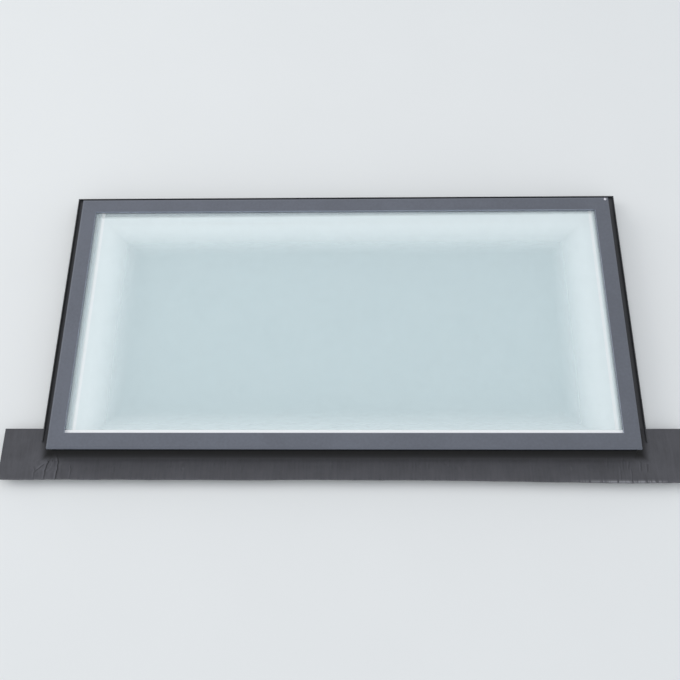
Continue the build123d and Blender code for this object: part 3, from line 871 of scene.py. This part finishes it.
def screw_shank(steps, diameter, length):
    """Rings of the shank, from the seat of the head down its thread to the point."""
    core, pitch, plain = 0.32 * diameter, 2.4 * MM, 6 * MM
    fall = pitch / 4
    rings = [[(core, 0.0)] * steps]
    for i in range(int((length - plain) / fall)):
        depth = plain + i * fall
        point = min(1.0, (length - depth) / (2 * diameter))
        ring = []
        for k in range(steps):
            phase = (depth / pitch - k / steps) % 1
            crest = max(0.0, 1 - abs(phase - 0.5) * 4)
            ring.append((point * (core + crest * (diameter / 2 - core)), -depth))
        rings.append(ring)
    return rings


def drive_screw(bm, at, diameter, length, across_flats, head_height):
    """Build one wood screw into a mesh at a place whose local z points out of the work."""
    steps = 18
    angles = [2 * pi * i / steps for i in range(steps)]
    rings = screw_head(angles, across_flats, head_height) + screw_shank(steps, diameter, length)
    made = []
    for ring in rings:
        row = [Vector((radius * cos(a), radius * sin(a), z)) for a, (radius, z) in zip(angles, ring)]
        made.append([bm.verts.new(at @ point) for point in row])
    for upper, lower in zip(made, made[1:]):
        for i in range(steps):
            j = (i + 1) % steps
            bm.faces.new((upper[j], upper[i], lower[i], lower[j]))
    bm.faces.new(made[0])
    bm.faces.new(reversed(made[-1]))


def solid_boxes(node):
    """Boxes of the separate solids in a CAD node."""
    bm = bmesh.new()
    bm.from_mesh(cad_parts[node].data)
    bmesh.ops.remove_doubles(bm, verts=bm.verts[:], dist=0.01 * MM)
    left = set(bm.verts)
    boxes = []
    for vertex in bm.verts:
        if vertex not in left:
            continue
        left.discard(vertex)
        todo, found = [vertex], []
        while todo:
            here = todo.pop()
            found.append(here.co.copy())
            for edge in here.link_edges:
                other = edge.other_vert(here)
                if other in left:
                    left.discard(other)
                    todo.append(other)
        lows = Vector(min(p[i] for p in found) for i in range(3))
        highs = Vector(max(p[i] for p in found) for i in range(3))
        boxes.append((lows, highs))
    bm.free()
    return boxes


def screw_place(box, head_height):
    """Place of a screw's seat, from the box of its solid, which lies along x or y."""
    low, high = box
    size = high - low
    axis = 0 if size.x > size.y else 1
    middle = (low + high) / 2
    outward = Vector((0, 0, 0))
    outward[axis] = 1 if middle[axis] > 0 else -1
    middle[axis] = high[axis] if middle[axis] > 0 else low[axis]
    turn = outward.to_track_quat("Z", "Y").to_matrix().to_4x4()
    return Matrix.Translation(middle - outward * head_height) @ turn


def splat(bm, middle, radius, height, seed):
    """Low dried blob with an uneven outline, built into a mesh on top of the capping."""
    steps, ring_count, lobes = 30, 6, 1.6
    centre = bm.verts.new(middle + Vector((0, 0, height)))
    last = None
    for ring in range(1, ring_count + 1):
        share = ring / ring_count
        row = []
        for i in range(steps):
            angle = 2 * pi * i / steps
            lobe = noise.noise(Vector((cos(angle) * lobes, sin(angle) * lobes, seed)))
            reach = radius * share * (1 + 0.35 * lobe * share)
            lump = noise.noise(Vector((reach * 900, angle, seed)))
            level = height * (1 - share**2) * (1 + 0.25 * lump)
            row.append(bm.verts.new(middle + Vector((reach * cos(angle), reach * sin(angle), level))))
        for i in range(steps):
            j = (i + 1) % steps
            if last is None:
                bm.faces.new((centre, row[i], row[j]))
            else:
                bm.faces.new((last[i], row[i], row[j], last[j]))
        last = row
    bm.faces.new(reversed(last))


class FinishCapping(bpy.types.Operator):
    """Coat the four lengths of capping"""

    bl_idname = "skylight.finish_capping"
    bl_label = "Coat capping"

    def execute(self, context):
        coat = powder_coat(context.scene.skylight_colours)
        finish_nodes(coat, "capping_coat", *[f"cap_{side}" for side in SIDES])
        return {"FINISHED"}


class FinishGlazing(bpy.types.Operator):
    """Glaze both panes of the insulating glass unit"""

    bl_idname = "skylight.finish_glazing"
    bl_label = "Glaze panes"

    def execute(self, context):
        colours = context.scene.skylight_colours
        outer = float_glass("toughened_float_glass", colours, dust_and_painted_light=True)
        inner = float_glass("laminated_float_glass", colours, dust_and_painted_light=False)
        finish_nodes(outer, "glass", "outer_pane")
        finish_nodes(inner, "glass", "inner_pane")
        return {"FINISHED"}


class FinishSeals(bpy.types.Operator):
    """Give the spacer, seals, gaskets, blocks and isolators their rubber and plastic"""

    bl_idname = "skylight.finish_seals"
    bl_label = "Finish seals and blocks"

    def execute(self, context):
        colours = context.scene.skylight_colours
        # After the colour: spread of the tone, roughness, patch and relief in millimetres
        foam = mottled("silicone_foam_spacer", colours.spacer, 0.05, 0.7, 4, 0.1)
        sealant = mottled("polysulphide_sealant", linear("#2B2B2D"), 0.15, 0.55, 12, 0.3)
        rubber = mottled("extruded_epdm_rubber", linear("#1F1F20"), 0.2, 0.65, 6, 0.1)
        nylon = mottled("glass_filled_polyamide", linear("#262627"), 0.2, 0.5, 3, 0.1)
        block = mottled("moulded_polypropylene_block", linear("#595959"), 0.08, 0.45, 10, 0.1)
        finish_nodes(foam, "spacer_foam", "spacer_bar")
        finish_nodes(sealant, "sealant", "edge_seal")
        finish_nodes(rubber, "epdm", "bedding_seal", "inner_gasket", "outer_gasket")
        finish_nodes(nylon, "polyamide", *[f"isolator_{side}" for side in SIDES])
        finish_nodes(block, "block_plastic", "setting_blocks", "location_blocks")
        return {"FINISHED"}


class FinishAluminium(bpy.types.Operator):
    """Leave the carriers, pressure plates, cleats and corner plates as extruded"""

    bl_idname = "skylight.finish_aluminium"
    bl_label = "Finish aluminium"

    def execute(self, context):
        across = mill_aluminium("mill_aluminium_across", 0)
        down = mill_aluminium("mill_aluminium_down", 1)
        for material, sides in ((across, SIDES[:2]), (down, SIDES[2:])):
            for part in ("carrier", "pressure_plate"):
                finish_nodes(material, "mill_aluminium", *[f"{part}_{side}" for side in sides])
        finish_nodes(across, "mill_aluminium", "corner_cleats", "cap_corner_plates")
        return {"FINISHED"}


class FinishTimber(bpy.types.Operator):
    """Plane and prime the kerb, with the grain along each member"""

    bl_idname = "skylight.finish_timber"
    bl_label = "Finish timber"

    def execute(self, context):
        colours = context.scene.skylight_colours
        across = spruce("planed_spruce_across", colours, 0)
        down = spruce("planed_spruce_down", colours, 1)
        finish_nodes(across, "timber", "kerb_head", "kerb_sill", "cant_strip")
        finish_nodes(down, "timber", "kerb_left", "kerb_right")
        return {"FINISHED"}


class FinishCollar(bpy.types.Operator):
    """Give the insulating collar its foam skin"""

    bl_idname = "skylight.finish_collar"
    bl_label = "Finish collar"

    def execute(self, context):
        colour = context.scene.skylight_colours.foam
        foam = mottled("extruded_foam_board", colour, spread=0.06, roughness=0.75, patch_mm=5, relief_mm=0.2)
        finish_nodes(foam, "foam", *[f"collar_{side}" for side in SIDES])
        return {"FINISHED"}


class FinishGutters(bpy.types.Operator):
    """Coat the side gutters and the head gutter"""

    bl_idname = "skylight.finish_gutters"
    bl_label = "Coat gutters"

    def execute(self, context):
        coat = coil_coat(context.scene.skylight_colours)
        finish_nodes(coat, "gutter_coat", "side_gutter_left", "side_gutter_right", "head_gutter")
        return {"FINISHED"}


class LayApron(bpy.types.Operator):
    """Lay the creased lead apron in place of its plain solid"""

    bl_idname = "skylight.lay_apron"
    bl_label = "Lay apron"

    def execute(self, context):
        sheet = dressed_sheet(context.scene.skylight_sizes)
        lead = patinated_lead(context.scene.skylight_colours)
        piece = new_piece("lead_apron", sheet, lead, radians(50))
        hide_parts("apron")
        return {"FINISHED"}


class FitBrackets(bpy.types.Operator):
    """Galvanise the fixing brackets and drive their threaded screws"""

    bl_idname = "skylight.fit_brackets"
    bl_label = "Fit brackets and screws"

    def execute(self, context):
        # Hot-dip spangle is 9 mm wide, and the far finer grain of plating is drawn at 3 mm
        dipped = zinc("hot_dip_galvanised_steel", 9, "#8E9296", "#B4B8BB", roughness=0.45)
        plated = zinc("zinc_plated_steel", 3, "#A9ACB2", "#C3C6CB", roughness=0.32)
        finish_nodes(dipped, "galvanised", "fixing_brackets")
        finish_nodes(plated, "screw_steel", "kerb_screws", "carrier_screws", "pressure_screws")
        bm = bmesh.new()
        for box in solid_boxes("bracket_screws"):
            drive_screw(bm, screw_place(box, BRACKET_SCREW["head_height"]), **BRACKET_SCREW)
        piece = new_piece("bracket_wood_screws", bm, plated, radians(35))
        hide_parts("bracket_screws")
        return {"FINISHED"}


class AddDropping(bpy.types.Operator):
    """Leave the dried bird dropping on the top right corner of the capping"""

    bl_idname = "skylight.add_dropping"
    bl_label = "Add bird dropping"

    def execute(self, context):
        width = context.scene.skylight_sizes.dropping
        middle = Vector((1.975, 0.981, CAP_TOP))
        bm = bmesh.new()
        splat(bm, middle, width / 2, height=1.4 * MM, seed=2.0)
        new_piece("bird_dropping", bm, dried_dropping())
        return {"FINISHED"}


def set_world(stage):
    """Even pale sky that lights the object, and the level at which the backdrop shows."""
    world = bpy.data.worlds.new("soft_sky")
    world.use_nodes = True
    tree = world.node_tree
    tree.nodes.clear()
    path = add(tree, "LightPath", {})
    sky = add(tree, "Background", {"Color": shaded(linear("#F6F9FD")), "Strength": stage.sky})
    pale = add(tree, "Background", {"Color": shaded(linear("#F3F5F6")), "Strength": stage.backdrop})
    surface = sky[0]
    for kind in ("Is Camera Ray", "Is Glossy Ray", "Is Transmission Ray"):
        surface = add(tree, "MixShader", {0: path[kind], 1: surface, 2: pale[0]})[0]
    add(tree, "OutputWorld", {"Surface": surface})
    bpy.context.scene.world = world


def set_lamp(stage):
    """Large soft lamp above the head on the left, aimed at the skylight."""
    lamp = bpy.data.lights.new("soft_lamp", "AREA")
    lamp.shape = "SQUARE"
    lamp.size = stage.lamp_width
    lamp.energy = stage.lamp_power
    lamp.spread = stage.lamp_spread
    lamp.color = linear("#FFFBF6")
    holder = new_object("soft_lamp", lamp)
    holder.location = stage.lamp_place
    holder.rotation_euler = (-Vector(stage.lamp_place)).to_track_quat("-Z", "Y").to_euler()
    # The panes mirror the sky alone, so no sharp white square of the lamp stands in them
    holder.visible_glossy = False
    holder.visible_transmission = False


def set_camera(stage):
    """Camera at the place and angle from which the photograph was taken."""
    camera = bpy.data.cameras.new("photo_camera")
    camera.lens = stage.lens
    holder = new_object("photo_camera", camera)
    holder.location = stage.eye
    holder.rotation_euler = stage.turn
    bpy.context.scene.camera = holder


def set_floor(stage, colours):
    """Plain square floor that the skylight lies on."""
    half = stage.floor_width / 2
    corners = [(-half, -half, 0), (half, -half, 0), (half, half, 0), (-half, half, 0)]
    mesh = bpy.data.meshes.new("floor")
    mesh.from_pydata(corners, [], [(0, 1, 2, 3)])
    mesh.materials.append(floor_paint(colours))
    new_object("floor", mesh)


class SetStage(bpy.types.Operator):
    """Set the floor, the soft light and the camera"""

    bl_idname = "skylight.set_stage"
    bl_label = "Set stage"

    def execute(self, context):
        stage = context.scene.skylight_stage
        set_floor(stage, context.scene.skylight_colours)
        set_world(stage)
        set_lamp(stage)
        set_camera(stage)
        context.scene.view_settings.view_transform = "Standard"
        return {"FINISHED"}


STEPS = (
    FinishCapping,
    FinishGlazing,
    FinishSeals,
    FinishAluminium,
    FinishTimber,
    FinishCollar,
    FinishGutters,
    LayApron,
    FitBrackets,
    AddDropping,
    SetStage,
)
SETTINGS = {
    "skylight_colours": SkylightColours,
    "skylight_sizes": SkylightSizes,
    "skylight_stage": SkylightStage,
}


class SkylightPanel(bpy.types.Panel):
    """Settings and steps of the roof skylight"""

    bl_idname = "VIEW3D_PT_skylight"
    bl_label = "Roof skylight"
    bl_space_type = "VIEW_3D"
    bl_region_type = "UI"
    bl_category = "Skylight"

    def draw(self, context):
        for name in SETTINGS:
            settings = getattr(context.scene, name)
            box = self.layout.box()
            for setting in settings.__annotations__:
                box.prop(settings, setting)
        for step in STEPS:
            self.layout.operator(step.bl_idname)


CLASSES = (*SETTINGS.values(), *STEPS, SkylightPanel)


def register():
    """Register the classes and hang the settings on the scene."""
    for made in CLASSES:
        bpy.utils.register_class(made)
    for name, group in SETTINGS.items():
        setattr(bpy.types.Scene, name, bpy.props.PointerProperty(type=group))


def unregister():
    """Take the settings off the scene and unregister the classes."""
    for name in SETTINGS:
        delattr(bpy.types.Scene, name)
    for made in reversed(CLASSES):
        bpy.utils.unregister_class(made)


def main():
    """Run every step in order."""
    register()
    for step in STEPS:
        name = step.bl_idname.split(".")[1]
        getattr(bpy.ops.skylight, name)()


if __name__ == "__main__":
    main()
